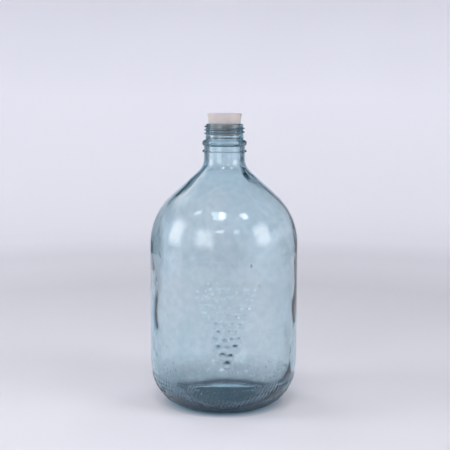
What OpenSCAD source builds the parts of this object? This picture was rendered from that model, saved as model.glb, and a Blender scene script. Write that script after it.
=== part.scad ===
// Glass carboy: a one-piece blown vessel with a threaded neck, and a tapered stopper.
// Millimetres. +Z is up, the vessel stands on Z = 0, and its front faces -Y.

/* [Body] */
// Outside diameter of the straight body
body_d = 175; // [170:1:190]
// Height where the heel ends and the straight wall begins
heel_h = 56; // [50:1:60]
// How far the heel pulls in from the straight wall
heel_w = 39; // [34:1:42]
// Height where the straight wall ends and the shoulder begins
shoulder_z = 191.3; // [185:0.1:200]
// Radius of the shoulder's arc, seen from the side
shoulder_r = 78; // [76:0.5:80]
// Angle at which the shoulder's arc runs out into its cone
shoulder_angle = 48; // [46:1:50]
// Wall thickness of the body
wall_t = 3.2; // [2.5:0.1:4]

/* [Base] */
// Thickness of the glass under the heel
base_t = 6.5; // [5:0.5:8]
// Width of the flat ring that the vessel stands on
bearing_w = 4.5; // [3:0.5:6]
// Rise of the pushed-up centre of the base
push_up = 8; // [5:0.5:10]
// Height of the stippled grip band above the ground
grip_h = 38; // [30:1:44]
// How far the grip band stands proud of the heel
grip_proud = 0.35; // [0.2:0.05:0.6]

/* [Neck] */
// Outside diameter of the plain neck
neck_d = 48; // [47:0.5:49]
// Radius of the fillet between shoulder and neck
neck_fillet = 20; // [18:1:26]
// Diameter of the bore between the mouth's taper and the plain neck
bore_d = 37.6; // [37:0.1:38]
// Height of the lip above the ground
lip_z = 333; // [331:0.5:340]
// Diameter of the rounded collar bead
bead_d = 52.4; // [50.5:0.1:53]
// Height of the collar bead
bead_h = 7.8; // [7:0.1:9]

/* [Screw thread] */
// Diameter over the thread's crest
thread_d = 48.2; // [47:0.1:48.6]
// Diameter of the finish under the thread
root_d = 44.2; // [43.8:0.1:44.4]
// Rise of the thread in one turn
thread_pitch = 4; // [3.6:0.1:4.2]
// Turns of the thread, its run-outs included
thread_turns = 2.3; // [2:0.05:2.5]

/* [Stopper] */
// Diameter of the stopper's small end
stopper_small_d = 35.2; // [34.8:0.1:35.6]
// Diameter of the stopper's large end
stopper_large_d = 40; // [39:0.1:40.6]
// Length of the stopper
stopper_l = 26.6; // [25:0.1:28]
// Length of the stopper that sits inside the neck
stopper_in = 14.1; // [12:0.1:15]

/* [Grape relief] */
// Distance between neighbouring grapes of the moulded bunch
grape_pitch = 9.4; // [9.2:0.1:10]
// How far a grape stands proud of the wall
grape_proud = 1.3; // [0.8:0.1:1.6]
// Height of the lowest grape
bunch_z = 66; // [62:1:72]

/* [Hidden] */
$fn = 128;

GLASS = [0.66, 0.76, 0.80, 0.45];
SILICONE = [0.80, 0.77, 0.76];

body_r = body_d / 2;
neck_r = neck_d / 2;
bore_r = bore_d / 2;
root_r = root_d / 2;
thread_r = thread_d / 2;
cut = 1;                        // overshoot of a cut past the face that it opens
big_steps = 24;                 // steps in a large arc
small_steps = 10;               // steps in a small arc

// The heel is a quarter of an ellipse about this point, and the shoulder an arc about the other.
heel_c = [body_r - heel_w, heel_h];
shoulder_c = [body_r - shoulder_r, shoulder_z];
bearing_r = heel_c[0] - bearing_w;                  // inner edge of the bearing ring
grip_angle = -asin((heel_h - grip_h) / heel_h);     // where the grip band ends on the heel
grip_edge = 0.5;                                    // angle taken by the band's bevelled edge

// The shoulder's cone meets the plain neck in a fillet about this point.
cone_top = on_arc(shoulder_c, shoulder_r, shoulder_angle);
fillet_c = [
    neck_r + neck_fillet,
    cone_top[1] + (neck_fillet + (cone_top[0] - neck_r - neck_fillet) * cos(shoulder_angle))
        / sin(shoulder_angle)
];

// The finish: plain neck, parting ridge, bead, land, threaded finish and lip, from below.
finish_h = 18.8;                // from the top of the bead to the lip
land_r = root_r + 0.2;          // the narrow land between the bead and the thread
land_h = 4.8;
bead_c = [land_r, lip_z - finish_h - bead_h / 2];
bead_w = bead_d / 2 - land_r;
bead_low = -acos((neck_r - land_r) / bead_w);       // where the bead leaves the plain neck
ridge_z = bead_c[1] - 9.3;      // the neck mould's parting ridge
ridge_proud = 0.35;
ridge_h = 1;
lug_r = 1.6;                    // the small lugs where the ridge meets the mould's seam
lip_r = 1.7;                    // rounding of the lip's outer edge
mouth_r = 0.9;                  // rounding of the lip's inner edge

// The stopper's taper, and the same taper in the mouth with a little clearance.
taper = (stopper_large_d - stopper_small_d) / 2 / stopper_l;
stopper_z = lip_z - stopper_in;
fit_gap = 0.05;
stopper_round = 1.2;

// The inside of the neck below the mouth: it opens out to the bore, and on to the plain neck.
throat_t = 4.2;                 // wall of the plain neck
throat_r = neck_r - throat_t;
throat_top = bead_c[1] - 1;     // where the bore begins to widen into the plain neck
mouth_end = stopper_z - 1;      // where the mouth's taper ends
bore_top = mouth_end - 4.5;     // where the mouth has opened out to the bore
floor_r = bearing_r + 1;        // the floor's dome ends here

// Thread: it rises from thread_z over thread_start degrees, and fades in and out.
thread_start = 130;
thread_z = lip_z - 13.4;
thread_fade = 38;
thread_step = 10;
crest_w = 1.0;
flank_w = 3.2;
thread_depth_in = 1.2;          // how far the thread's own solid reaches into the neck
crest_sink = 0.3;               // how far its crest sinks under the surface at its ends

// Bunch: grapes in each row, from the tip up, each row set over the gaps of the one below.
bunch_rows = [1, 2, 3, 4, 3, 4, 5, 6, 7, 8, 5];
bunch_x = 4;
row_rise = grape_pitch * 0.92;
grape_r = grape_pitch / 2 - 0.1;

function on_arc(c, r, a) = [c[0] + r * cos(a), c[1] + r * sin(a)];

function arc(c, r, a0, a1, steps) = ellipse_arc(c, [r, r], a0, a1, steps);

function ellipse_arc(c, r, a0, a1, steps) = [
    for (i = [0:steps]) let (a = a0 + (a1 - a0) * i / steps)
        [c[0] + r[0] * cos(a), c[1] + r[1] * sin(a)]
];

// Half of a shallow dome from the axis out to radius r, with the rise h, standing on z.
function dome(r, h, z, steps) = [
    for (i = [0:steps - 1]) let (x = r * i / steps) [x, z + h * (1 - pow(x / r, 2))]
];

// An S-shaped blend between two points that is upright at both.
function throat(from, to, steps) = [
    for (i = [0:steps]) let (t = i / steps)
        [from[0] + (to[0] - from[0]) * (1 - cos(180 * t)) / 2, from[1] + (to[1] - from[1]) * t]
];

function taper_r(z) = stopper_small_d / 2 + (z - stopper_z) * taper;

outer_profile = concat(
    dome(bearing_r, push_up, 0, small_steps),
    [[bearing_r, 0]],
    ellipse_arc(heel_c, [heel_w + grip_proud, heel_h], -90, grip_angle, big_steps),
    ellipse_arc(heel_c, [heel_w, heel_h], grip_angle + grip_edge, 0, small_steps),
    arc(shoulder_c, shoulder_r, 0, shoulder_angle, big_steps),
    arc(fillet_c, neck_fillet, 180 + shoulder_angle, 180, small_steps),
    [
        [neck_r, ridge_z - ridge_h],
        [neck_r + ridge_proud, ridge_z - ridge_h / 4],
        [neck_r + ridge_proud, ridge_z + ridge_h / 4],
        [neck_r, ridge_z + ridge_h]
    ],
    ellipse_arc(bead_c, [bead_w, bead_h / 2], bead_low, 90, 2 * small_steps),
    [[land_r, bead_c[1] + bead_h / 2 + land_h - 0.4], [root_r, bead_c[1] + bead_h / 2 + land_h]],
    arc([root_r - lip_r, lip_z - lip_r], lip_r, 0, 90, small_steps),
    [[0, lip_z]]
);

inner_profile = concat(
    dome(floor_r, push_up, base_t, small_steps),
    ellipse_arc(heel_c, [heel_w - wall_t, heel_h - base_t], -90, 0, big_steps),
    arc(shoulder_c, shoulder_r - wall_t, 0, shoulder_angle, big_steps),
    arc(fillet_c, neck_fillet + throat_t, 180 + shoulder_angle, 180, small_steps),
    throat([throat_r, fillet_c[1] + 2], [bore_r, throat_top], small_steps),
    throat([bore_r, bore_top], [taper_r(mouth_end) + fit_gap, mouth_end], small_steps),
    mouth_round(taper_r(lip_z - mouth_r) + fit_gap),
    [[0, lip_z + cut]]
);

// The mouth's inner edge rolls outwards from the taper to the lip.
function mouth_round(r) = concat(
    [for (i = [0:small_steps]) let (a = 90 * i / small_steps)
        [r + mouth_r * (1 - cos(a)), lip_z - mouth_r + mouth_r * sin(a)]],
    [[r + mouth_r, lip_z + cut]]
);

// How far the thread's crest is raised, from 0 at its ends to 1.
function fade(a) = min(1, a / thread_fade, (360 * thread_turns - a) / thread_fade);

// The thread's section at the angle a along it: two flanks and a crest.
function thread_section(a) =
    let (f = fade(a), crest = root_r - crest_sink + (thread_r - root_r + crest_sink) * f,
         foot = root_r - thread_depth_in, z = thread_z + thread_pitch * (thread_start + a) / 360)
    [for (p = [[foot, -flank_w / 2], [crest, -crest_w / 2 * f - 0.1], [crest, crest_w / 2 * f + 0.1],
               [foot, flank_w / 2]])
        [p[0] * cos(thread_start + a), p[0] * sin(thread_start + a), z + p[1]]];

module thread() {
    count = ceil(360 * thread_turns / thread_step);
    points = [for (i = [0:count]) each thread_section(360 * thread_turns * i / count)];
    sides = [
        for (i = [0:count - 1], k = [0:3]) let (a = 4 * i + k, b = 4 * i + (k + 1) % 4)
            each [[a, b, a + 4], [b, b + 4, a + 4]]
    ];
    polyhedron(points, concat([[3, 2, 1, 0]], sides, [[for (k = [0:3]) 4 * count + k]]));
}

// Two small lugs stand on the parting ridge, one at each mould seam.
module lugs() {
    for (side = [-1, 1]) translate([side * (neck_r + 0.3), 0, ridge_z]) sphere(lug_r);
}

// Each grape is a ball sunk in the front wall, so that only a low cap of it shows.
module grapes() {
    for (row = [0:len(bunch_rows) - 1], i = [0:bunch_rows[row] - 1]) {
        along = bunch_x + (i - (bunch_rows[row] - 1) / 2) * grape_pitch;
        rotate(along / body_r * 180 / PI)
            translate([0, -(body_r + grape_proud - grape_r), bunch_z + row * row_rise])
                sphere(grape_r);
    }
}

module glass_vessel() {
    color(GLASS) difference() {
        union() {
            rotate_extrude() polygon(outer_profile);
            thread();
            lugs();
            grapes();
        }
        rotate_extrude() polygon(inner_profile);
    }
}

module stopper() {
    small_r = stopper_small_d / 2;
    large_r = stopper_large_d / 2;
    color(SILICONE) translate([0, 0, stopper_z]) rotate_extrude() polygon(concat(
        [[0, 0]],
        arc([small_r - stopper_round, stopper_round], stopper_round, -90, 0, small_steps),
        arc([large_r - stopper_round, stopper_l - stopper_round], stopper_round, 0, 90, small_steps),
        [[0, stopper_l]]
    ));
}

glass_vessel();
stopper();
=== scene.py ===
"""Glass carboy: a blown glass vessel with a screw-thread neck, its silicone stopper, and a plain studio.

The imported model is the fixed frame. The vessel and the stopper are rebuilt here as finer meshes in the same
places, in metres, with Z up and the front of the vessel facing -Y.
"""

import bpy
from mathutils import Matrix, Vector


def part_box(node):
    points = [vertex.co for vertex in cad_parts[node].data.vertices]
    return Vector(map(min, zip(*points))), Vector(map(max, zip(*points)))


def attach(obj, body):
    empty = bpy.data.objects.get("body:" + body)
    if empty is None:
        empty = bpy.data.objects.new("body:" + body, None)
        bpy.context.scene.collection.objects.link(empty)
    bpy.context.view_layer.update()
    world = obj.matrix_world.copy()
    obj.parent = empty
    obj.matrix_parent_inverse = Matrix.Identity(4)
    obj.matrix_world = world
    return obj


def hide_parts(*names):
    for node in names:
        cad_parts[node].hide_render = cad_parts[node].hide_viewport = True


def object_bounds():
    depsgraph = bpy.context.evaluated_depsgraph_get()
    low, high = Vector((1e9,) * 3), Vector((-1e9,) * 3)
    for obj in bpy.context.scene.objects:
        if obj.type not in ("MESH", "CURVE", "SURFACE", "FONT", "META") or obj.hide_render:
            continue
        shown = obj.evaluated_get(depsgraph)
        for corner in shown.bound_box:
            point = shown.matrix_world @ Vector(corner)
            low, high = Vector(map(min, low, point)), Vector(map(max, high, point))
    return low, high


bl_info = {
    "name": "Glass Carboy",
    "version": (1, 0, 0),
    "blender": (4, 5, 0),
    "location": "3D View > Sidebar > Carboy",
    "description": "Builds a glass carboy and its stopper round a packed frame, and a studio",
    "category": "Object",
}

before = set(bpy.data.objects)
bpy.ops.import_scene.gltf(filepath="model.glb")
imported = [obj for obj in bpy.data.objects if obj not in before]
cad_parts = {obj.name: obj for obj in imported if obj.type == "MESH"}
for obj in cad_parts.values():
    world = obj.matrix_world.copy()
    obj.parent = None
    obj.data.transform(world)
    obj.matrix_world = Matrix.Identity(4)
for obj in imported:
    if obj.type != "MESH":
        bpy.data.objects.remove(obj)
CAD_LOW, CAD_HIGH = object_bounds()

import math

import bpy
import numpy as np
from bpy.props import FloatProperty, FloatVectorProperty, IntProperty, PointerProperty
from mathutils import Matrix, Vector

TAU = 2 * math.pi
MM = 0.001

VESSEL_LOW, VESSEL_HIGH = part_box("glass_vessel")
STOPPER_LOW, STOPPER_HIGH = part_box("stopper")


# ---------------------------------------------------------------- settings

def length(name, description, default, low=0.0):
    """A distance that the user can change, in metres."""
    return FloatProperty(
        name=name, description=description, default=default, min=low,
        subtype="DISTANCE", unit="LENGTH", precision=5,
    )


class CarboyVesselSettings(bpy.types.PropertyGroup):
    """Sizes and glass of the vessel."""

    body_diameter: length(
        "Body diameter", "Outside diameter of the straight body", VESSEL_HIGH.x - VESSEL_LOW.x
    )
    heel_height: length("Heel height", "Height where the heel ends and the straight wall begins", 56 * MM)
    heel_width: length("Heel width", "How far the heel pulls in from the straight wall", 39 * MM)
    shoulder_height: length("Shoulder height", "Height where the straight wall ends", 191.3 * MM)
    shoulder_radius: length("Shoulder radius", "Radius of the shoulder's arc, seen from the side", 78 * MM)
    shoulder_angle: FloatProperty(
        name="Shoulder angle", description="Where the shoulder's arc runs out into its cone",
        default=math.radians(48), subtype="ANGLE", unit="ROTATION",
    )
    wall: length("Wall", "Mean thickness of the body's wall", 3.2 * MM)
    base: length("Base", "Thickness of the glass under the heel", 6.5 * MM)
    push_up: length("Push-up", "Rise of the base's centre", 8 * MM)
    bearing: length("Bearing ring", "Width of the flat ring that the vessel stands on", 4.5 * MM)
    grip_height: length("Grip band", "Height of the stippled band above the ground", 38 * MM)
    grip_proud: length("Grip rise", "How far the stippled band stands proud of the heel", 0.5 * MM)
    neck_diameter: length("Neck diameter", "Outside diameter of the plain neck", 48 * MM)
    neck_fillet: length("Neck fillet", "Radius between the shoulder and the neck", 20 * MM)
    bore_diameter: length("Bore diameter", "Diameter of the bore under the mouth", 37.6 * MM)
    bead_diameter: length("Bead diameter", "Diameter of the collar bead", 52.4 * MM)
    bead_height: length("Bead height", "Height of the collar bead", 7.8 * MM)
    root_diameter: length("Thread root", "Diameter of the finish under the thread", 44.2 * MM)
    thread_diameter: length("Thread crest", "Diameter over the thread", 48.2 * MM)
    thread_pitch: length("Thread pitch", "Rise of the thread in one turn", 4 * MM)
    thread_turns: FloatProperty(
        name="Thread turns", description="Turns of the thread, run-outs included", default=2.3, min=1
    )
    grape_pitch: length("Grape pitch", "Distance between neighbouring grapes of the relief", 9.4 * MM)
    grape_rise: length("Grape rise", "How far a grape stands proud of the wall", 2.1 * MM)
    bunch_height: length("Bunch height", "Height of the lowest grape", 66 * MM)
    wall_drift: length("Wall drift", "How far the inside of the wall drifts from true", 0.75 * MM)
    wall_ripple: length("Wall ripple", "How far the inside of the wall ripples", 0.13 * MM)
    skin_drift: length("Skin drift", "How far the outside of the wall drifts from true", 0.12 * MM)
    bubbles: IntProperty(name="Bubbles", description="Small bubbles in the wall", default=16, min=0)
    seed: IntProperty(
        name="Seed", description="Seed of the unevenness, the grapes, the dots and the bubbles", default=7
    )
    glass_tint: FloatVectorProperty(
        name="Glass tint", description="Colour that the glass lets through best",
        default=(0.0, 0.56, 0.72), size=3, min=0, max=1, subtype="COLOR",
    )
    flow_tint: FloatVectorProperty(
        name="Flow tint", description="Colour of the glass where its wall is thicker",
        default=(0.93, 0.955, 0.96), size=3, min=0, max=1, subtype="COLOR",
    )
    # Painted shade: the colour that the glass is mixed towards in the grip band's gaps and at its rim, along
    # the grapes' lower edges and on the thread's lower flanks; the neck is darkened a little towards it too.
    painted_shade_tint: FloatVectorProperty(
        name="Crease tint", description="Colour of the glass in the creases of its surface",
        default=(0.035, 0.125, 0.235), size=3, min=0, max=1, subtype="COLOR",
    )
    glass_depth: FloatProperty(
        name="Glass depth", description="Absorption of the glass, per metre", default=52.0, min=0
    )


class CarboyStopperSettings(bpy.types.PropertyGroup):
    """Sizes and colour of the stopper."""

    edge: length("Edge", "Rounding of the stopper's edges", 1.2 * MM)
    small_diameter: length("Small end", "Diameter of the stopper's lower end", 35.2 * MM)
    colour: FloatVectorProperty(
        name="Silicone colour", description="Colour of the silicone",
        default=(0.515, 0.475, 0.465), size=3, min=0, max=1, subtype="COLOR",
    )


class CarboyStudioSettings(bpy.types.PropertyGroup):
    """Backdrop, lights and camera."""

    backdrop: FloatVectorProperty(
        name="Backdrop", description="Colour of the floor and the backdrop",
        default=(0.705, 0.71, 0.775), size=3, min=0, max=1, subtype="COLOR",
    )
    # Painted shadow: the colour that the floor takes close round the vessel's foot.
    painted_contact_shade: FloatVectorProperty(
        name="Contact", description="Colour of the floor in the shade under the vessel",
        default=(0.15, 0.34, 0.46), size=3, min=0, max=1, subtype="COLOR",
    )
    wall_glow: FloatProperty(
        name="Wall glow", description="How brightly the backdrop's wall glows", default=0.415, min=0
    )
    floor_glow: FloatProperty(
        name="Floor glow", description="How brightly the floor glows", default=0.08, min=0
    )
    front_dim: FloatProperty(
        name="Front dim", description="Share of that glow in front of the vessel", default=0.25, min=0
    )
    floor_radius: length("Floor radius", "Flat part of the floor", 1.7)
    backdrop_height: length("Backdrop height", "Height of the wall round the floor", 1.0)
    camera_distance: length("Camera distance", "From the vessel's axis, along the floor", 1.1223)
    camera_height: length("Camera height", "Above the floor", 0.345)
    camera_side: length("Camera side", "How far the camera stands to the right of the axis", 1.06 * MM)
    camera_pitch: FloatProperty(
        name="Camera pitch", description="How far the camera looks down", default=math.radians(6.7),
        subtype="ANGLE", unit="ROTATION",
    )
    camera_roll: FloatProperty(
        name="Camera roll", description="How far the camera is tilted sideways", default=math.radians(0.3),
        subtype="ANGLE", unit="ROTATION",
    )
    camera_lens: FloatProperty(
        name="Camera lens", description="Focal length on a 36 mm sensor", default=76.0, min=1,
        subtype="DISTANCE_CAMERA", unit="CAMERA",
    )


# ---------------------------------------------------------------- surface of revolution

class Ring:
    """One ring of a surface of revolution: its profile point, the way it faces, and its columns."""

    def __init__(self, radius, height, out, up, angles, zone):
        self.radius, self.height = radius, height
        self.out, self.up = out, up
        self.angles, self.zone = angles, zone


def arc_points(centre, radii, start, end, steps):
    """Points on an arc or a quarter of an ellipse, angles in radians."""
    turn = np.linspace(start, end, steps + 1)
    return np.stack([centre[0] + radii[0] * np.cos(turn), centre[1] + radii[1] * np.sin(turn)], axis=1)


def even_columns(count):
    """The angles of this many columns, evenly round the axis."""
    return np.arange(count) * TAU / count


def rings_along(points, spacing, angles, zone):
    """Evenly spaced rings along a smooth stretch of the profile, its last point left to the next."""
    points = np.asarray(points, float)
    steps = np.linalg.norm(np.diff(points, axis=0), axis=1)
    along = np.concatenate([[0], np.cumsum(steps)])
    count = max(1, round(along[-1] / spacing))
    made = []
    for s in np.arange(count) * along[-1] / count:
        radius, height = (np.interp(s, along, points[:, k]) for k in (0, 1))
        piece = min(np.searchsorted(along, s, side="right") - 1, len(steps) - 1)
        ahead = points[piece + 1] - points[piece]
        ahead /= np.linalg.norm(ahead)
        made.append(Ring(radius, height, ahead[1], -ahead[0], angles, zone))
    return made


def stitch(faces, first, first_angles, second, second_angles):
    """Joins two rings: quads where their columns match, triangles where they don't."""
    n, m = len(first_angles), len(second_angles)
    if n == m and n > 1 and np.allclose(first_angles, second_angles):
        for i in range(n):
            k = (i + 1) % n
            faces.append((first + i, first + k, second + k, second + i))
        return
    i = j = 0
    while i < n or j < m:
        ahead_first = first_angles[i + 1] if i + 1 < n else first_angles[0] + TAU
        ahead_second = second_angles[j + 1] if j + 1 < m else second_angles[0] + TAU
        a, b = first + i % n, second + j % m
        if m == 1 or (i < n and (j >= m or ahead_first <= ahead_second) and n > 1):
            faces.append((a, first + (i + 1) % n, b))
            i += 1
            if m == 1 and i >= n:
                return
        else:
            faces.append((a, second + (j + 1) % m, b))
            j += 1
            if n == 1 and j >= m:
                return


def turned_mesh(rings, displace):
    """A closed mesh from rings that run from the axis out and back to the axis."""
    points, faces, starts = [], [], []
    total = 0
    for ring in rings:
        starts.append(total)
        shift = displace(ring)
        radius = ring.radius + ring.out * shift
        height = ring.height + ring.up * shift
        angles = ring.angles
        height = np.broadcast_to(height, angles.shape)
        points.append(np.stack([radius * np.cos(angles), radius * np.sin(angles), height], axis=1))
        total += len(angles)
    for k in range(len(rings) - 1):
        stitch(faces, starts[k], rings[k].angles, starts[k + 1], rings[k + 1].angles)
    return np.concatenate(points), faces


def axis_ring(height, up, zone):
    """The single point where a surface meets the axis."""
    return Ring(0.0, height, 0.0, up, np.zeros(1), zone)


def add_piece(name, points, faces, material):
    """A smooth-shaded mesh object of these points and faces."""
    mesh = bpy.data.meshes.new(name)
    mesh.from_pydata([tuple(p) for p in points], [], faces)
    if mesh.validate():
        raise RuntimeError(f"{name}: the mesh had faces that don't hold together")
    mesh.polygons.foreach_set("use_smooth", [True] * len(mesh.polygons))
    mesh.materials.append(material)
    piece = bpy.data.objects.new(name, mesh)
    bpy.context.scene.collection.objects.link(piece)
    return piece


# ---------------------------------------------------------------- the vessel's shape

# The stippled band of the heel, and the painted shade of its gaps and of the rim under it.
GRIP_DOTS = 104                 # dots in one turn
GRIP_ROWS = 11                  # rows of dots from the ground to the band's edge
GRIP_DOT_RISE = 1.1 * MM        # how far the largest dots stand out
GAP_SHADE = 0.46                # painted shade of the gaps between the dots
GAP_EDGE_SHARE = 0.3            # share of that shade at the band's edge
GAP_FADE = 22 * MM              # and it is all there this far below the edge
RIM_SHADE = 1.0                 # painted shade of the rim at the ground
RIM_HEIGHT = 14 * MM            # and the height where it has died away

# The relief on the front: a bunch of grapes, listed row by row from its tip.
FRONT = 1.5 * math.pi           # angle of the vessel's front
FRONT_HALF = math.radians(41)   # half of the part of the wall that holds the relief
RELIEF_LOW, RELIEF_HIGH = 58 * MM, 186 * MM
BUNCH_ROWS = (1, 2, 3, 4, 3, 4, 5, 6, 7, 8, 5)
BUNCH_SIDE = 4 * MM             # the bunch hangs a little to the right of the front's middle
ROW_STEP = 0.92                 # from one row up to the next, in grape pitches
GRAPE_RADIUS = (0.42, 0.56)     # least and most, in grape pitches
GRAPE_BLUNTNESS = 0.55          # 1 is a parabola, and less has steeper sides
CREASE_AT, CREASE_HALF = 0.84, 0.22     # the painted shade in the crease under a grape, and its half width, in its radii
CREASE_FADE = 24 * MM           # the creases' painted shade dies away this far above the lowest grape

# The neck and its finish.
FINISH_HEIGHT = 18.8 * MM       # from the top of the bead to the lip
LAND_STEP = 0.2 * MM            # the land under the thread is this much wider than the thread's root
LAND_HEIGHT = 4.8 * MM          # height of that land
RIDGE_BELOW_BEAD = 9.3 * MM     # the parting ridge, below the middle of the bead
RIDGE_RISE, RIDGE_HALF = 0.35 * MM, 0.7 * MM
LUG_RISE, LUG_WIDTH, LUG_TALL = 1.75 * MM, 1.15 * MM, 1.35 * MM     # the ridge's lugs, at the seams
LIP_ROUND, MOUTH_ROUND = 1.7 * MM, 0.9 * MM     # rounding of the lip, outside and inside
THROAT_WALL = 4.2 * MM          # thickness of the neck's glass above the shoulder
MOUTH_END = 1 * MM              # from the stopper's lower end down to the end of the mouth's taper
MOUTH_OPENS = 4.5 * MM          # from there down to the bore
FIT_GAP = 0.05 * MM             # clearance between the mouth's taper and the stopper
THREAD_START = math.radians(130)        # angle where the thread begins
THREAD_BELOW_LIP = 13.4 * MM    # from the lip down to the crest, run back to angle 0
THREAD_FADE = math.radians(38)  # the turn that a run-out takes
THREAD_CREST_HALF, THREAD_FOOT_HALF = 0.45 * MM, 1.35 * MM      # half its width at the crest and foot
FLANK_SHADE, FLANK_HALF = 0.95, 0.5 * MM    # painted shade of the thread's lower flank, and its half width
NECK_SHADE = 0.08               # how much darker the glass of the neck is tinted, all round

# The unevenness of blown glass, and the mould's seams.
SLOW_WAVE = 220 * MM            # height of the slow waves of the wall
QUICK_WAVE = 50 * MM            # height of its ripples
SKIN_FADE = 40 * MM             # the outside turns uneven over this height above the ground
NECK_FADE = 30 * MM             # and turns true again over this height under the neck
HEEL_CALM, HEEL_FADE = 12 * MM, 30 * MM         # the inside is true below the first, and uneven that far up
THROAT_CALM, THROAT_FADE = 12 * MM, 40 * MM     # and the same down from the bead
RIPPLE_LOW = 40 * MM            # the ripples begin at this height
RIPPLE_FADE = 30 * MM           # and are full this far above it
SEAM_RISE, SEAM_WIDTH = 0.2 * MM, 0.45 * MM
SEAM_FADE = 10 * MM             # the seams fade out over this height above the ground
# Name of the mesh's layer of painted shade.
PAINTED_SHADE_LAYER = "painted_glass_shade"


def smooth(t):
    """An S-curve from 0 to 1."""
    t = np.clip(t, 0, 1)
    return t * t * (3 - 2 * t)


def wrap(angle):
    """An angle in the range from minus half a turn to half a turn."""
    return (angle + math.pi) % TAU - math.pi


def with_extra(columns, centres, offsets):
    """Columns with extra ones round each centre, sorted."""
    extra = [c + o for c in centres for o in offsets]
    return np.unique(np.round(np.concatenate([columns, extra]) % TAU, 6))


def wall_columns(radius):
    """Columns of the straight wall: close together over the relief and at the mould's seams."""
    fine = np.arange(-FRONT_HALF, FRONT_HALF, 1.08 * MM / radius) + FRONT
    coarse = np.linspace(FRONT + FRONT_HALF, FRONT - FRONT_HALF + TAU, 84)
    near_seam = np.array([-1.1, -0.55, 0, 0.55, 1.1]) * MM / radius
    return with_extra(np.concatenate([fine, coarse]), (0, math.pi), near_seam)


def neck_columns(radius):
    """Columns of the neck, with extra ones where the lugs are."""
    near_lug = np.array([-1.9, -1.2, -0.6, 0, 0.6, 1.2, 1.9]) * MM / radius
    return with_extra(even_columns(168), (0, math.pi), near_lug)


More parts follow.
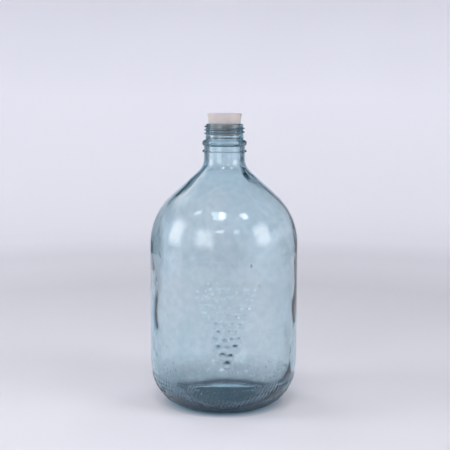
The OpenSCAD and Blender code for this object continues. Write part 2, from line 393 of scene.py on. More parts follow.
class VesselShape:
    """The vessel's profile as rings, and how far its surface stands off that profile."""

    def __init__(self, s):
        self.s = s
        self.radius = s.body_diameter / 2
        self.neck = s.neck_diameter / 2
        self.bore = s.bore_diameter / 2
        self.root = s.root_diameter / 2
        self.lip = VESSEL_HIGH.z
        self.heel = (self.radius - s.heel_width, s.heel_height)
        self.shoulder = (self.radius - s.shoulder_radius, s.shoulder_height)
        a = s.shoulder_angle
        cone_r = self.shoulder[0] + s.shoulder_radius * math.cos(a)
        cone_z = self.shoulder[1] + s.shoulder_radius * math.sin(a)
        fillet_r = self.neck + s.neck_fillet
        self.fillet = (fillet_r, cone_z + (s.neck_fillet + (cone_r - fillet_r) * math.cos(a)) / math.sin(a))
        self.land = self.root + LAND_STEP
        self.bead = (self.land, self.lip - FINISH_HEIGHT - s.bead_height / 2)
        self.ridge = self.bead[1] - RIDGE_BELOW_BEAD
        self.thread_low = self.lip - THREAD_BELOW_LIP
        self.foot = bpy.context.scene.carboy_stopper.small_diameter / 2
        self.taper = (STOPPER_HIGH.x - self.foot) / (STOPPER_HIGH.z - STOPPER_LOW.z)
        self.skin = drift_field(s.seed, s.skin_drift, range(2, 12), SLOW_WAVE)
        self.inside = drift_field(s.seed + 1, s.wall_drift, range(1, 10), SLOW_WAVE)
        self.ripple = drift_field(s.seed + 5, s.wall_ripple, range(6, 24), QUICK_WAVE)
        self.grapes = bunch(s)
        self.dot_sizes = np.random.default_rng(s.seed + 4).uniform(0.2, 1, (GRIP_ROWS + 2, GRIP_DOTS))

    def mouth_radius(self, z):
        """Radius of the mouth's taper at a height: the stopper's own, and the clearance."""
        return self.foot + (z - STOPPER_LOW.z) * self.taper + FIT_GAP

    def rings(self):
        """All the rings, from the base's middle up the outside, over the lip and down the inside."""
        return self.outer_rings() + self.inner_rings()

    def s_curve(self, from_radius, from_height, to_radius, to_height):
        """An S-shaped stretch of the profile that is upright at both ends."""
        t = np.linspace(0, 1, 20)
        radius = from_radius + (to_radius - from_radius) * smooth(t)
        return np.stack([radius, from_height + (to_height - from_height) * t], axis=1)

    def outer_rings(self):
        """The outside, from the base's middle up to the lip."""
        s, heel, bead = self.s, self.heel, self.bead
        inner_edge = heel[0] - s.bearing
        grip = -math.asin((s.heel_height - s.grip_height) / s.heel_height)
        coarse, fine = even_columns(144), even_columns(4 * GRIP_DOTS)
        wall, neck = wall_columns(self.radius), neck_columns(self.neck)
        x = np.linspace(0, 1, 24)
        dome = np.stack([inner_edge * x, s.push_up * (1 - x**2)], axis=1)
        band = arc_points(heel, (s.heel_width + s.grip_proud, s.heel_height), -math.pi / 2, grip, 60)
        band_length = np.linalg.norm(np.diff(band, axis=0), axis=1).sum()
        bevel = math.radians(0.5)
        heel_top = arc_points(heel, (s.heel_width, s.heel_height), grip + bevel, 0, 24)
        low, high, top = RELIEF_LOW, RELIEF_HIGH, s.shoulder_height
        arc = arc_points(self.shoulder, (s.shoulder_radius,) * 2, 0, s.shoulder_angle, 60)
        fillet = arc_points(
            self.fillet, (s.neck_fillet,) * 2, math.pi + s.shoulder_angle, math.pi, 30
        )
        bead_w = s.bead_diameter / 2 - self.land
        bead_low = -math.acos((self.neck - self.land) / bead_w)
        bead_arc = arc_points(bead, (bead_w, s.bead_height / 2), bead_low, math.pi / 2, 40)
        bead_top = bead[1] + s.bead_height / 2
        land_top = bead_top + LAND_HEIGHT
        land_edge = land_top - 2 * LAND_STEP
        round_c = (self.root - LIP_ROUND, self.lip - LIP_ROUND)
        lip_arc = arc_points(round_c, (LIP_ROUND,) * 2, 0, math.pi / 2, 16)
        mouth = self.mouth_radius(self.lip - MOUTH_ROUND) + MOUTH_ROUND
        rows = [axis_ring(s.push_up, -1, "base")]
        rows += rings_along(dome, 4.5 * MM, even_columns(72), "base")[1:]
        rows += rings_along([(inner_edge, 0), (heel[0], 0)], 1.5 * MM, coarse, "base")
        rows += rings_along(band, band_length / (3 * GRIP_ROWS), fine, "grip")
        rows += rings_along(heel_top, 2.4 * MM, wall, "wall")
        rows += rings_along([(self.radius, s.heel_height), (self.radius, low)], 2 * MM, wall, "wall")
        rows += rings_along([(self.radius, low), (self.radius, high)], 1.2 * MM, wall, "wall")
        rows += rings_along([(self.radius, high), (self.radius, top)], 2.5 * MM, wall, "wall")
        rows += rings_along(arc, 3 * MM, with_extra(coarse, (0, math.pi), (-0.01, 0.01)), "shoulder")
        rows += rings_along([arc[-1], fillet[0]], 3 * MM, coarse, "shoulder")
        rows += rings_along(fillet, 1.2 * MM, neck, "neck")
        rows += rings_along([fillet[-1], (self.neck, self.ridge - 3 * MM)], 1.6 * MM, neck, "neck")
        rows += rings_along([(self.neck, self.ridge - 3 * MM), bead_arc[0]], 0.42 * MM, neck, "neck")
        rows += rings_along(bead_arc, 0.62 * MM, neck, "neck")
        rows += rings_along([(self.land, bead_top), (self.land, land_edge)], 1 * MM, neck, "neck")
        rows += rings_along([(self.land, land_edge), (self.root, land_top)], 0.3 * MM, neck, "neck")
        rows += rings_along([(self.root, land_top), lip_arc[0]], 0.27 * MM, neck, "thread")
        rows += rings_along(lip_arc, 0.4 * MM, neck, "thread")
        rows += rings_along([lip_arc[-1], (mouth, self.lip)], 0.6 * MM, neck, "lip")
        return rows

    def inner_rings(self):
        """The inside, from the lip down to the middle of the floor."""
        s, heel = self.s, self.heel
        columns, neck = even_columns(120), even_columns(96)
        mouth = self.mouth_radius(self.lip - MOUTH_ROUND)
        roll_centre = (mouth + MOUTH_ROUND, self.lip - MOUTH_ROUND)
        roll = arc_points(roll_centre, (MOUTH_ROUND,) * 2, math.pi / 2, math.pi, 10)
        taper_end = STOPPER_LOW.z - MOUTH_END
        opening = self.s_curve(self.mouth_radius(taper_end), taper_end, self.bore, taper_end - MOUTH_OPENS)
        throat_top, throat_low = self.bead[1] - 1 * MM, self.fillet[1] + 2 * MM
        throat = self.neck - THROAT_WALL
        widening = self.s_curve(self.bore, throat_top, throat, throat_low)
        fillet = arc_points(
            self.fillet, (s.neck_fillet + THROAT_WALL,) * 2, math.pi, math.pi + s.shoulder_angle, 20
        )
        arc = arc_points(self.shoulder, (s.shoulder_radius - s.wall,) * 2, s.shoulder_angle, 0, 40)
        heel_arc = arc_points(heel, (s.heel_width - s.wall, s.heel_height - s.base), 0, -math.pi / 2, 50)
        floor_edge = heel[0] - s.bearing + 1 * MM
        x = np.linspace(1, 0, 24)
        dome = np.stack([floor_edge * x, s.base + s.push_up * (1 - x**2)], axis=1)
        rows = rings_along(roll, 0.3 * MM, neck, "mouth")
        rows += rings_along([roll[-1], opening[0]], 2 * MM, neck, "mouth")
        rows += rings_along(opening, 0.7 * MM, neck, "mouth")
        rows += rings_along([opening[-1], widening[0]], 1.5 * MM, neck, "mouth")
        rows += rings_along(widening, 1.5 * MM, neck, "inside")
        rows += rings_along([widening[-1], fillet[0]], 1 * MM, neck, "inside")
        rows += rings_along(fillet, 1.5 * MM, columns, "inside")
        rows += rings_along([fillet[-1], arc[0]], 3 * MM, columns, "inside")
        rows += rings_along(arc, 3 * MM, columns, "inside")
        rows += rings_along([arc[-1], heel_arc[0]], 3.6 * MM, columns, "inside")
        rows += rings_along(heel_arc, 2.6 * MM, columns, "inside")
        rows += rings_along([heel_arc[-1], dome[0]], 1.5 * MM, columns, "inside")
        rows += rings_along(dome, 4 * MM, even_columns(72), "inside")
        rows.append(axis_ring(s.base + s.push_up, 1, "inside"))
        return rows

    def displace(self, ring):
        """How far each point of the ring stands off the profile, along the way that the profile faces."""
        angles, z = ring.angles, ring.height
        if len(angles) == 1 or ring.zone in ("base", "mouth", "lip"):
            return np.zeros(len(angles))
        if ring.zone == "inside":
            below_neck = smooth((self.bead[1] - THROAT_CALM - z) / THROAT_FADE)
            above_heel = smooth((z - HEEL_CALM) / HEEL_FADE)
            rippled = smooth((z - RIPPLE_LOW) / RIPPLE_FADE)
            drift = self.inside(angles, z) + self.ripple(angles, z) * rippled
            return drift * (below_neck * above_heel)
        shift = self.skin(angles, z) * smooth(z / SKIN_FADE) * smooth((self.fillet[1] - z) / NECK_FADE)
        seam = np.minimum(abs(wrap(angles)), abs(wrap(angles - math.pi))) * ring.radius
        if ring.zone != "thread":
            shift = shift + SEAM_RISE * np.exp(-((seam / SEAM_WIDTH) ** 2)) * smooth(z / SEAM_FADE)
        if ring.zone == "grip":
            shift = shift + GRIP_DOT_RISE * self.dots(angles, z)
        if ring.zone == "wall":
            shift = shift + self.relief(angles, z)
        if ring.zone == "neck":
            off = abs(z - self.ridge)
            shift = shift + RIDGE_RISE * smooth((RIDGE_HALF - off) / (0.4 * MM))
            shift = shift + LUG_RISE * np.exp(-((seam / LUG_WIDTH) ** 2) - (off / LUG_TALL) ** 4)
        if ring.zone == "thread":
            shift = shift + self.thread(angles, z)
        return shift

    def shade(self, ring):
        """The painted shade of the glass, from 0 to 1: in the grip band's gaps and at its rim, along the
        grapes' lower edges, on the thread's lower flanks, and an even darkening of the neck.
        """
        if ring.zone == "grip":
            below_edge = smooth((self.s.grip_height - ring.height) / GAP_FADE)
            fade = GAP_EDGE_SHARE + (1 - GAP_EDGE_SHARE) * below_edge
            gaps = GAP_SHADE * fade * (1 - np.clip(2 * self.dots(ring.angles, ring.height), 0, 1))
            return np.maximum(gaps, RIM_SHADE * smooth(1 - ring.height / RIM_HEIGHT))
        if ring.zone == "wall":
            return self.creases(ring.angles, ring.height)
        if ring.zone == "thread":
            return self.flanks(ring.angles, ring.height)
        return np.full(len(ring.angles), NECK_SHADE if ring.zone == "neck" else 0.0)

    def creases(self, angles, z):
        """The painted shade along the lower edge of each grape."""
        along = wrap(angles - FRONT) * self.radius
        dark = np.zeros(len(angles))
        for side, up, radius, _ in self.grapes:
            off = np.hypot(along - side, z - up) / radius
            edge = np.exp(-(((off - CREASE_AT) / CREASE_HALF) ** 2)) * smooth((up - z) / radius + 0.1)
            dark = np.maximum(dark, edge * math.exp((self.s.bunch_height - up) / CREASE_FADE))
        return dark

    def dots(self, angles, z):
        """The dots of the grip band, up to 1: every other row is set over the gaps of the one below."""
        down = math.acos(max(-1, min(1, 1 - z / self.s.heel_height)))
        row = down / math.acos(1 - self.s.grip_height / self.s.heel_height) * GRIP_ROWS
        dots = np.cos(angles * GRIP_DOTS) * math.cos(math.pi * row)
        nearest = round(row)
        column = np.rint(angles * GRIP_DOTS / TAU - nearest % 2 / 2).astype(int) % GRIP_DOTS
        return np.clip(dots, -0.2, 1) * self.dot_sizes[nearest, column] * smooth(row / 2)

    def relief(self, angles, z):
        """The moulded bunch of grapes on the front."""
        along = wrap(angles - FRONT) * self.radius
        height = np.zeros(len(angles))
        for side, up, radius, rise in self.grapes:
            near = ((along - side) ** 2 + (z - up) ** 2) / radius**2
            height = np.maximum(height, rise * np.clip(1 - near, 0, 1) ** GRAPE_BLUNTNESS)
        return height

    def turns(self, angles):
        """For each turn of the thread, its crest's height and how far it is raised, at each angle."""
        total = self.s.thread_turns * TAU
        for turn in range(int(self.s.thread_turns) + 2):
            along = angles + turn * TAU - THREAD_START
            crest = self.thread_low + self.s.thread_pitch * (angles + turn * TAU) / TAU
            yield crest, smooth(np.minimum(along, total - along) / THREAD_FADE)

    def thread(self, angles, z):
        """The screw thread: the nearest of its turns at each angle."""
        height = np.zeros(len(angles))
        for crest, raised in self.turns(angles):
            off = (THREAD_FOOT_HALF - abs(z - crest)) / (THREAD_FOOT_HALF - THREAD_CREST_HALF)
            height = np.maximum(height, smooth(off) * raised)
        return height * (self.s.thread_diameter - self.s.root_diameter) / 2

    def flanks(self, angles, z):
        """The painted shade on the lower flank of the thread."""
        middle = (THREAD_CREST_HALF + THREAD_FOOT_HALF) / 2
        dark = np.zeros(len(angles))
        for crest, raised in self.turns(angles):
            dark = np.maximum(dark, raised * np.exp(-(((crest - middle - z) / FLANK_HALF) ** 2)))
        return FLANK_SHADE * dark


def drift_field(seed, amount, around, tall):
    """Unevenness over angle and height: seeded waves, about as large as amount, as high as tall."""
    rng = np.random.default_rng(seed)
    waves = [
        (k, rng.normal(0, TAU / tall), rng.uniform(0, TAU), rng.uniform(0.4, 1) / math.sqrt(k))
        for k in around
    ]
    scale = amount / math.sqrt(sum(w[3] ** 2 for w in waves))

    def drift(angles, z):
        return scale * sum(weight * np.cos(k * angles + up * z + phase) for k, up, phase, weight in waves)

    return drift


def bunch(s):
    """The grapes as (side, height, radius, rise), rows narrowing to the tip, each a little uneven."""
    rng = np.random.default_rng(s.seed + 2)
    grapes = []
    for row, count in enumerate(BUNCH_ROWS):
        uneven = (0.5 + 0.3 * row) * MM
        for i in range(count):
            side = BUNCH_SIDE + (i - (count - 1) / 2) * s.grape_pitch + rng.uniform(-1, 1) * uneven
            up = s.bunch_height + row * ROW_STEP * s.grape_pitch + rng.uniform(-1, 1) * uneven
            fade = (1 - 0.55 * smooth((row - 4) / 6)) * rng.uniform(0.75, 1.1)
            grapes.append((side, up, s.grape_pitch * rng.uniform(*GRAPE_RADIUS), s.grape_rise * fade))
    return grapes


def bubble_shell(centre, size, start):
    """A small closed bubble, facing inwards: its points, and its faces numbered from start."""
    columns, rows = 12, 7
    points, faces = [], []
    for i in range(1, rows):
        tilt = math.pi * i / rows
        for k in range(columns):
            turn = TAU * k / columns
            ball = (math.sin(tilt) * math.cos(turn), math.sin(tilt) * math.sin(turn), math.cos(tilt))
            points.append([c + d * b for c, d, b in zip(centre, size, ball)])
    points += [[centre[0], centre[1], centre[2] + size[2]], [centre[0], centre[1], centre[2] - size[2]]]
    top, bottom = start + len(points) - 2, start + len(points) - 1
    for k in range(columns):
        m = (k + 1) % columns
        faces.append((top, start + m, start + k))
        faces.append((bottom, start + (rows - 2) * columns + k, start + (rows - 2) * columns + m))
        for i in range(rows - 2):
            a, b = start + i * columns, start + (i + 1) * columns
            faces.append((a + k, a + m, b + m, b + k))
    return points, faces


def add_bubbles(s, points, faces):
    """Bubbles in the middle of the wall: some in view at the front, the rest anywhere."""
    rng = np.random.default_rng(s.seed + 3)
    middle = s.body_diameter / 2 - s.wall / 2
    placed = [(0.36, 177 * MM, 1.2), (-0.85, 79 * MM, 0.6), (0.59, 60 * MM, 0.6)]
    while len(placed) < s.bubbles:
        placed.append((rng.uniform(-math.pi, math.pi), rng.uniform(60, 185) * MM, rng.uniform(0.25, 0.6)))
    points = [tuple(p) for p in points]
    for side, height, size in placed[:s.bubbles]:
        angle = FRONT + side
        centre = (middle * math.cos(angle), middle * math.sin(angle), height)
        wide, tall = size * MM * 0.75, size * MM * 1.6
        new_points, new_faces = bubble_shell(centre, (wide, wide, tall), len(points))
        points += new_points
        faces += new_faces
    return points, faces


# ---------------------------------------------------------------- materials

def new_material(name):
    """A new node material: the material, its nodes, its links and its Principled shader."""
    material = bpy.data.materials.new(name)
    material.use_nodes = True
    nodes, links = material.node_tree.nodes, material.node_tree.links
    return material, nodes, links, nodes["Principled BSDF"]


def noise(nodes, links, scale, detail=2.0, stretch=None):
    """Noise in the object's own space, stretched along its axes if asked."""
    place = nodes.new("ShaderNodeTexCoord")
    texture = nodes.new("ShaderNodeTexNoise")
    texture.inputs["Scale"].default_value = scale
    texture.inputs["Detail"].default_value = detail
    if stretch:
        mapping = nodes.new("ShaderNodeMapping")
        mapping.inputs["Scale"].default_value = stretch
        links.new(place.outputs["Object"], mapping.inputs["Vector"])
        links.new(mapping.outputs["Vector"], texture.inputs["Vector"])
    else:
        links.new(place.outputs["Object"], texture.inputs["Vector"])
    return texture.outputs["Fac"]


def map_range(nodes, links, value, from_low, from_high, to_low, to_high):
    """The value mapped from one range to another, and held within it."""
    node = nodes.new("ShaderNodeMapRange")
    node.inputs["From Min"].default_value = from_low
    node.inputs["From Max"].default_value = from_high
    node.inputs["To Min"].default_value = to_low
    node.inputs["To Max"].default_value = to_high
    links.new(value, node.inputs["Value"])
    return node.outputs["Result"]


def height_above_ground(nodes, links):
    """The height of each point, in the object's own space."""
    place = nodes.new("ShaderNodeTexCoord")
    split = nodes.new("ShaderNodeSeparateXYZ")
    links.new(place.outputs["Object"], split.inputs["Vector"])
    return split.outputs["Z"]


def bump(nodes, links, value, strength, distance, under=None):
    """A bumped normal, over another one if given."""
    node = nodes.new("ShaderNodeBump")
    node.inputs["Strength"].default_value = strength
    node.inputs["Distance"].default_value = distance
    links.new(value, node.inputs["Height"])
    if under:
        links.new(under, node.inputs["Normal"])
    return node.outputs["Normal"]


def combine(nodes, links, operation, first, second, clamp=False):
    """A sum or a product of two values."""
    node = nodes.new("ShaderNodeMath")
    node.operation, node.use_clamp = operation, clamp
    links.new(first, node.inputs[0])
    links.new(second, node.inputs[1])
    return node.outputs["Value"]


def add(nodes, links, first, second, clamp=False):
    return combine(nodes, links, "ADD", first, second, clamp)


def multiply(nodes, links, first, second):
    return combine(nodes, links, "MULTIPLY", first, second)


def blue_green_glass(s):
    """Old blown glass: tinted through its depth, faintly uneven, scuffed where it stands, and mixed towards a
    painted shade tint where the mesh's shade layer darkens it.
    """
    material, nodes, links, shader = new_material("blue_green_glass")
    flow_mark = nodes.new("ShaderNodeMix")
    flow_mark.data_type = "RGBA"
    flow_mark.inputs["A"].default_value = (1, 1, 1, 1)
    flow_mark.inputs["B"].default_value = (*s.flow_tint, 1)
    thick = map_range(nodes, links, noise(nodes, links, 120, 5), 0.42, 0.62, 0, 1)
    links.new(thick, flow_mark.inputs["Factor"])
    # Painted shade: the mesh's layer mixes the glass's colour towards the painted shade tint.
    creases = nodes.new("ShaderNodeAttribute")
    creases.attribute_name = PAINTED_SHADE_LAYER
    tone = nodes.new("ShaderNodeMix")
    tone.data_type = "RGBA"
    links.new(flow_mark.outputs["Result"], tone.inputs["A"])
    tone.inputs["B"].default_value = (*s.painted_shade_tint, 1)
    links.new(creases.outputs["Fac"], tone.inputs["Factor"])
    links.new(tone.outputs["Result"], shader.inputs["Base Color"])
    shader.inputs["Transmission Weight"].default_value = 1.0
    shader.inputs["IOR"].default_value = 1.52
    smudge = map_range(nodes, links, noise(nodes, links, 22, 4), 0.45, 0.75, 0.0, 0.035)
    scuff = map_range(nodes, links, height_above_ground(nodes, links), 0.0, 1.2 * MM, 0.3, 0.0)
    links.new(add(nodes, links, smudge, scuff), shader.inputs["Roughness"])
    flow = bump(nodes, links, noise(nodes, links, 26, 1.0, (1, 1, 0.35)), 0.35, 1.0 * MM)
    ripple = bump(nodes, links, noise(nodes, links, 110, 2.0), 0.22, 0.5 * MM, flow)
    grain = bump(nodes, links, noise(nodes, links, 420, 2.0), 0.06, 0.2 * MM, ripple)
    links.new(grain, shader.inputs["Normal"])
    depth = nodes.new("ShaderNodeVolumeAbsorption")
    depth.inputs["Color"].default_value = (*s.glass_tint, 1)
    depth.inputs["Density"].default_value = s.glass_depth
    links.new(depth.outputs["Volume"], nodes["Material Output"].inputs["Volume"])
    return material


def white_silicone(s):
    """Soft translucent silicone with a faint bloom and moulding grain."""
    material, nodes, links, shader = new_material("white_silicone")
    mix = nodes.new("ShaderNodeMix")
    mix.data_type = "RGBA"
    links.new(map_range(nodes, links, noise(nodes, links, 60, 3), 0.35, 0.7, 0, 1), mix.inputs["Factor"])
    mix.inputs["A"].default_value = (*s.colour, 1)
    mix.inputs["B"].default_value = (*(c * 1.12 for c in s.colour), 1)
    links.new(mix.outputs["Result"], shader.inputs["Base Color"])
    shader.inputs["Subsurface Weight"].default_value = 0.6
    shader.inputs["Subsurface Radius"].default_value = (1.0, 0.75, 0.6)
    shader.inputs["Subsurface Scale"].default_value = 6 * MM
    shader.inputs["IOR"].default_value = 1.41
    bloom = map_range(nodes, links, noise(nodes, links, 140, 3), 0.3, 0.7, 0.36, 0.52)
    links.new(bloom, shader.inputs["Roughness"])
    links.new(bump(nodes, links, noise(nodes, links, 900, 3), 0.12, 0.15 * MM), shader.inputs["Normal"])
    return material


def backdrop_paint(s):
    """Matt paint of the floor and the wall, with a painted shadow round the vessel's foot. Painted light: the
    wall glows a little, most behind the vessel, and the floor glows faintly, a little more close round the
    vessel.
    """
    material, nodes, links, shader = new_material("backdrop_paint")
    mottle = nodes.new("ShaderNodeMix")
    mottle.data_type = "RGBA"
    links.new(map_range(nodes, links, noise(nodes, links, 3, 2), 0.3, 0.7, 0, 1), mottle.inputs["Factor"])
    mottle.inputs["A"].default_value = (*(c * 0.985 for c in s.backdrop), 1)
    mottle.inputs["B"].default_value = (*s.backdrop, 1)
    shader.inputs["Roughness"].default_value = 0.9
    shader.inputs["Specular IOR Level"].default_value = 0.1
    place = nodes.new("ShaderNodeTexCoord")
    split = nodes.new("ShaderNodeSeparateXYZ")
    links.new(place.outputs["Object"], split.inputs["Vector"])
    flat = nodes.new("ShaderNodeVectorMath")
    flat.operation = "MULTIPLY"
    flat.inputs[1].default_value = (1, 1, 0)
    links.new(place.outputs["Object"], flat.inputs[0])
    out = nodes.new("ShaderNodeVectorMath")
    out.operation = "LENGTH"
    links.new(flat.outputs["Vector"], out.inputs[0])
    # Painted shadow: the floor is mixed towards the contact colour close round the vessel.
    shade = nodes.new("ShaderNodeMix")
    shade.data_type = "RGBA"
    shade.inputs["B"].default_value = (*s.painted_contact_shade, 1)
    under = map_range(nodes, links, out.outputs["Value"], CONTACT_DARK, CONTACT_CLEAR, 1, 0)
    links.new(under, shade.inputs["Factor"])
    links.new(mottle.outputs["Result"], shade.inputs["A"])
    links.new(shade.outputs["Result"], shader.inputs["Base Color"])
    # Painted light: the backdrop glows, most behind the vessel and low down, in the colour of the floor's
    # paint and painted shadow.
    wall = map_range(nodes, links, out.outputs["Value"], 0.8, 1.5, s.floor_glow, s.wall_glow)
    behind = map_range(nodes, links, split.outputs["Y"], -0.8, 1.7, s.front_dim, 1.0)
    near = map_range(nodes, links, out.outputs["Value"], 0.5, 1.2, 1.0, 0.0)
    low = map_range(nodes, links, split.outputs["Z"], 0.4, 1.0, 1.0, 0.25)
    share = add(nodes, links, behind, near, clamp=True)
    # Painted light: a faint extra glow on the floor close round the vessel, that lightens its shadow.
    painted_halo = map_range(nodes, links, out.outputs["Value"], 0.07, 0.3, 0.06, 0.0)
    glow = add(nodes, links, multiply(nodes, links, multiply(nodes, links, wall, share), low), painted_halo)
    links.new(shade.outputs["Result"], shader.inputs["Emission Color"])
    links.new(glow, shader.inputs["Emission Strength"])
    return material


# ---------------------------------------------------------------- operators

class CARBOY_OT_vessel(bpy.types.Operator):
    """Build the glass vessel, with its stippled heel, relief, thread and hollow, as one closed mesh"""

    bl_idname = "carboy.vessel"
    bl_label = "Glass vessel"
    bl_options = {"REGISTER", "UNDO"}

    def execute(self, context):
        s = context.scene.carboy_vessel
        shape = VesselShape(s)
        rings = shape.rings()
        points, faces = turned_mesh(rings, shape.displace)
        # Painted shade of each point, stored on the mesh for the glass's colour.
        shade = np.concatenate([shape.shade(ring) for ring in rings])
        points, faces = add_bubbles(s, points, faces)
        vessel = add_piece("vessel", points, faces, blue_green_glass(s))
        layer = vessel.data.attributes.new(PAINTED_SHADE_LAYER, "FLOAT", "POINT")
        layer.data.foreach_set("value", np.concatenate([shade, np.zeros(len(points) - len(shade))]))
        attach(vessel, "vessel")
        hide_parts("glass_vessel")
        return {"FINISHED"}


STOPPER_DISH = 0.35 * MM        # the stopper's top is this much lower inside its edge
DISH_EDGE, DISH_SLOPE = 2 * MM, 3 * MM      # it begins to sink this far in, and over this width


def stopper_rings(s):
    """The stopper's profile: a tapered plug with rounded edges."""
    low, high = STOPPER_LOW.z, STOPPER_HIGH.z
    small, large, edge = s.small_diameter / 2, STOPPER_HIGH.x, s.edge
    bottom = arc_points((small - edge, low + edge), (edge, edge), -math.pi / 2, 0, 10)
    top = arc_points((large - edge, high - edge), (edge, edge), 0, math.pi / 2, 10)
    columns = even_columns(128)
    rows = [axis_ring(low, -1, "base")]
    rows += rings_along([(0, low), bottom[0]], 2 * MM, columns, "base")[1:]
    rows += rings_along(bottom, 0.3 * MM, columns, "side")
    rows += rings_along([bottom[-1], top[0]], 0.6 * MM, columns, "side")
    rows += rings_along(top, 0.3 * MM, columns, "side")
    rows += rings_along([top[-1], (0, high)], 1.5 * MM, columns, "top")
    rows.append(axis_ring(high, 1, "top"))
    return rows


def dish_top(ring):
    """How far the rings of the stopper's top sink, so that the top is a shallow dish."""
    depth = 0.0
    if ring.zone == "top":
        depth = STOPPER_DISH * smooth((STOPPER_HIGH.x - DISH_EDGE - ring.radius) / DISH_SLOPE)
    return np.full(len(ring.angles), -depth)


class CARBOY_OT_stopper(bpy.types.Operator):
    """Build the silicone stopper"""

    bl_idname = "carboy.stopper"
    bl_label = "Stopper"
    bl_options = {"REGISTER", "UNDO"}

    def execute(self, context):
        s = context.scene.carboy_stopper
        points, faces = turned_mesh(stopper_rings(s), dish_top)
        plug = add_piece("stopper_plug", points, faces, white_silicone(s))
        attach(plug, "stopper")
        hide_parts("stopper")
        return {"FINISHED"}


# Azimuth 0 is in front of the vessel and 90 to its right. Angles in degrees, sizes in metres.
# Softboxes: name, azimuth, elevation, distance, width, height, radiance.
SOFTBOXES = (
    ("window_left", -80, 17, 1.6, 0.95, 1.25, 6.5),
    ("window_front_left", -31, 15, 1.15, 0.78, 0.80, 3.2),
    ("window_right", 62, 18, 1.6, 0.95, 1.1, 6.5),
    ("sky_left", -135, 42, 2.3, 1.6, 1.3, 1.1),
)
# The other windows stand where some views look straight through the glass, so it only mirrors them.
SEEN_THROUGH_GLASS = ("window_front_left", "sky_left")
# Small ceiling lamps that the glass mirrors: name, azimuth, elevation, distance, width, height, watts.
SPOTS = (
    ("spot_left", -66, 52, 2.4, 0.22, 0.28, 1.0),
    ("spot_middle", -3, 57, 2.4, 0.42, 0.50, 6),
    ("spot_right", 46, 52, 2.4, 0.36, 0.44, 3.6),
    ("spot_low_left", -5, 29, 2.1, 0.36, 0.14, 1.0),
    ("spot_low_right", 21, 29, 2.1, 0.32, 0.14, 0.7),
)
# Large soft lamps that only light the room: name, azimuth, elevation, distance, width, height, watts.
FILLS = (
    ("fill_back_left", -140, 62, 2.4, 0.7, 0.7, 5.6),
    ("fill_back_right", 140, 62, 2.4, 0.7, 0.7, 5.6),
    ("fill_front", 0, 58, 2.4, 1.0, 1.0, 3.8),
    ("fill_top", 0, 88, 2.6, 1.6, 1.6, 8.6),
)
# Dark panels that only the glass sees, painted shade in its reflections and in what shows through it: name,
# first azimuth, last azimuth.
FLAGS = (("flag_front", -62, 22), ("flag_right", 92, 155), ("flag_back_left", -158, -112))
FLAG_RADIUS, FLAG_HEIGHT = 1.25, 0.9
SWEEP_RADIUS = 0.7              # the bend from the floor up into the backdrop's wall
CONTACT_DARK, CONTACT_CLEAR = 52 * MM, 74 * MM      # the floor's painted shadow round the axis, and where it ends


def direction(azimuth, elevation):
    """The unit vector from the vessel towards that azimuth and elevation, in degrees."""
    a, e = math.radians(azimuth), math.radians(elevation)
    return Vector((math.sin(a) * math.cos(e), -math.cos(a) * math.cos(e), math.sin(e)))


def face_vessel(thing, azimuth, elevation, distance):
    """Puts an object round the vessel's middle, facing it."""
    way = direction(azimuth, elevation)
    thing.location = Vector((0, 0, (CAD_LOW.z + CAD_HIGH.z) / 2)) + way * distance
    thing.rotation_euler = way.to_track_quat("Z", "Y").to_euler()


def add_lamp(name, azimuth, elevation, distance, width, height, power, mirrored):
    """A lamp that faces the vessel from that direction, and that the glass mirrors or not."""
    light = bpy.data.lights.new(name, "AREA")
    light.shape, light.size, light.size_y, light.energy = "RECTANGLE", width, height, power
    lamp = bpy.data.objects.new(name, light)
    face_vessel(lamp, azimuth, elevation, distance)
    bpy.context.scene.collection.objects.link(lamp)
    lamp.visible_camera = False
    lamp.visible_glossy = lamp.visible_transmission = mirrored


def add_card(name, width, height, material):
    """A flat card, width by height, about its own middle."""
    x, y = width / 2, height / 2
    card = add_piece(name, [(-x, -y, 0), (x, -y, 0), (x, y, 0), (-x, y, 0)], [(0, 1, 2, 3)], material)
    card.visible_camera = False
    return card


def softbox_light(name, radiance):
    """Light that is brightest in the middle of its card and dies away to the edges."""
    material, nodes, links, shader = new_material(name)
    nodes.remove(shader)
    place = nodes.new("ShaderNodeTexCoord")
    centre = nodes.new("ShaderNodeMapping")
    centre.inputs["Location"].default_value = (-1, -1, 0)
    centre.inputs["Scale"].default_value = (2, 2, 0)
    links.new(place.outputs["Generated"], centre.inputs["Vector"])
    split = nodes.new("ShaderNodeSeparateXYZ")
    links.new(centre.outputs["Vector"], split.inputs["Vector"])
    fades = []
    for axis in "XY":
        size = nodes.new("ShaderNodeMath")
        size.operation = "ABSOLUTE"
        links.new(split.outputs[axis], size.inputs[0])
        fades.append(map_range(nodes, links, size.outputs["Value"], 0.45, 1.0, 1.0, 0.0))
    strength = nodes.new("ShaderNodeMath")
    strength.operation = "MULTIPLY"
    strength.inputs[1].default_value = radiance
    links.new(multiply(nodes, links, *fades), strength.inputs[0])
    emission = nodes.new("ShaderNodeEmission")
    emission.inputs["Color"].default_value = (1, 0.985, 1, 1)
    links.new(strength.outputs["Value"], emission.inputs["Strength"])
    links.new(emission.outputs["Emission"], nodes["Material Output"].inputs["Surface"])
    return material


def add_softbox(name, azimuth, elevation, distance, width, height, radiance):
    """A glowing card that faces the vessel from that direction."""
    card = add_card(name, width, height, softbox_light(name, radiance))
    face_vessel(card, azimuth, elevation, distance)
    card.visible_transmission = name in SEEN_THROUGH_GLASS


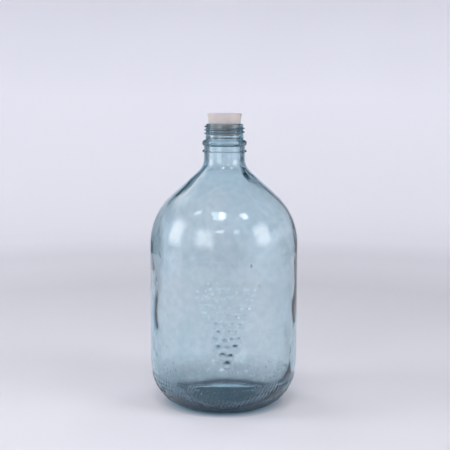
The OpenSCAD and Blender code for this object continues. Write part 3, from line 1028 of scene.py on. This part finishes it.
def flag_cloth():
    """Dark cloth of the flags, painted shade for the glass: patchy, and thinning out towards the top."""
    material, nodes, links, shader = new_material("flag_cloth")
    shader.inputs["Base Color"].default_value = (0.02, 0.045, 0.06, 1)
    shader.inputs["Roughness"].default_value = 1.0
    height = height_above_ground(nodes, links)
    hang = map_range(nodes, links, height, 0.3 * FLAG_HEIGHT, FLAG_HEIGHT, 1.0, 0.0)
    patches = map_range(nodes, links, noise(nodes, links, 5, 2.0), 0.38, 0.6, 0.5, 1.0)
    links.new(multiply(nodes, links, hang, patches), shader.inputs["Alpha"])
    return material


def add_flag(name, first, last, material):
    """A dark panel that stands on the floor round the vessel from one azimuth to another."""
    steps = max(2, round((last - first) / 4))
    turns = [direction(first + (last - first) * i / steps, 0) * FLAG_RADIUS for i in range(steps + 1)]
    points = [way + Vector((0, 0, z)) for z in (0, FLAG_HEIGHT) for way in turns]
    faces = [(i, i + 1, i + steps + 2, i + steps + 1) for i in range(steps)]
    flag = add_piece(name, points, faces, material)
    flag.visible_camera = flag.visible_diffuse = flag.visible_shadow = False


def add_backdrop(s):
    """A round floor that curves up into a low wall."""
    bend = arc_points((s.floor_radius, SWEEP_RADIUS), (SWEEP_RADIUS,) * 2, 0, -math.pi / 2, 24)
    columns = even_columns(96)
    rows = rings_along([(bend[0][0], s.backdrop_height), bend[0]], 0.2, columns, "wall")
    rows += rings_along(bend, 0.06, columns, "wall")
    rows += rings_along([bend[-1], (0, 0)], 0.3, columns, "floor")
    rows.append(axis_ring(0, 1, "floor"))
    points, faces = turned_mesh(rows, lambda ring: np.zeros(len(ring.angles)))
    return add_piece("backdrop", points, faces, backdrop_paint(s))


def add_camera(s):
    """The camera in front of the vessel, looking slightly down."""
    data = bpy.data.cameras.new("camera")
    data.sensor_width = 36
    data.lens = s.camera_lens
    data.dof.use_dof = False
    camera = bpy.data.objects.new("camera", data)
    camera.location = (s.camera_side, -s.camera_distance, s.camera_height)
    tilt = Matrix.Rotation(math.pi / 2 - s.camera_pitch, 3, "X")
    camera.rotation_euler = (tilt @ Matrix.Rotation(s.camera_roll, 3, "Z")).to_euler()
    bpy.context.scene.collection.objects.link(camera)
    bpy.context.scene.camera = camera


class CARBOY_OT_studio(bpy.types.Operator):
    """Build the backdrop, the lights and the camera"""

    bl_idname = "carboy.studio"
    bl_label = "Studio"
    bl_options = {"REGISTER", "UNDO"}

    def execute(self, context):
        s = context.scene.carboy_studio
        add_backdrop(s)
        for row in SOFTBOXES:
            add_softbox(*row)
        for row in SPOTS:
            add_lamp(*row, mirrored=True)
        for row in FILLS:
            add_lamp(*row, mirrored=False)
        cloth = flag_cloth()
        for row in FLAGS:
            add_flag(*row, cloth)
        add_camera(s)
        world = bpy.data.worlds.new("studio_air")
        world.use_nodes = True
        world.node_tree.nodes["Background"].inputs["Color"].default_value = (0.5, 0.53, 0.6, 1)
        world.node_tree.nodes["Background"].inputs["Strength"].default_value = 0.04
        context.scene.world = world
        context.scene.view_settings.view_transform = "Standard"
        context.scene.cycles.max_bounces = 24
        context.scene.cycles.transmission_bounces = 24
        context.scene.cycles.glossy_bounces = 8
        return {"FINISHED"}


class CARBOY_PT_panel(bpy.types.Panel):
    """The carboy's settings, and a button for each part of it"""

    bl_idname = "CARBOY_PT_panel"
    bl_label = "Glass carboy"
    bl_space_type = "VIEW_3D"
    bl_region_type = "UI"
    bl_category = "Carboy"

    def draw(self, context):
        scene = context.scene
        for settings, operator in (
            (scene.carboy_vessel, CARBOY_OT_vessel),
            (scene.carboy_stopper, CARBOY_OT_stopper),
            (scene.carboy_studio, CARBOY_OT_studio),
        ):
            box = self.layout.box()
            box.operator(operator.bl_idname)
            for name in settings.__annotations__:
                box.prop(settings, name)


SETTINGS = {
    "carboy_vessel": CarboyVesselSettings,
    "carboy_stopper": CarboyStopperSettings,
    "carboy_studio": CarboyStudioSettings,
}
CLASSES = (
    *SETTINGS.values(), CARBOY_OT_vessel, CARBOY_OT_stopper, CARBOY_OT_studio, CARBOY_PT_panel,
)


def register():
    for cls in CLASSES:
        bpy.utils.register_class(cls)
    for name, group in SETTINGS.items():
        setattr(bpy.types.Scene, name, PointerProperty(type=group))


def unregister():
    for name in SETTINGS:
        delattr(bpy.types.Scene, name)
    for cls in reversed(CLASSES):
        bpy.utils.unregister_class(cls)


def main():
    register()
    bpy.ops.carboy.studio()
    bpy.ops.carboy.vessel()
    bpy.ops.carboy.stopper()


if __name__ == "__main__":
    main()
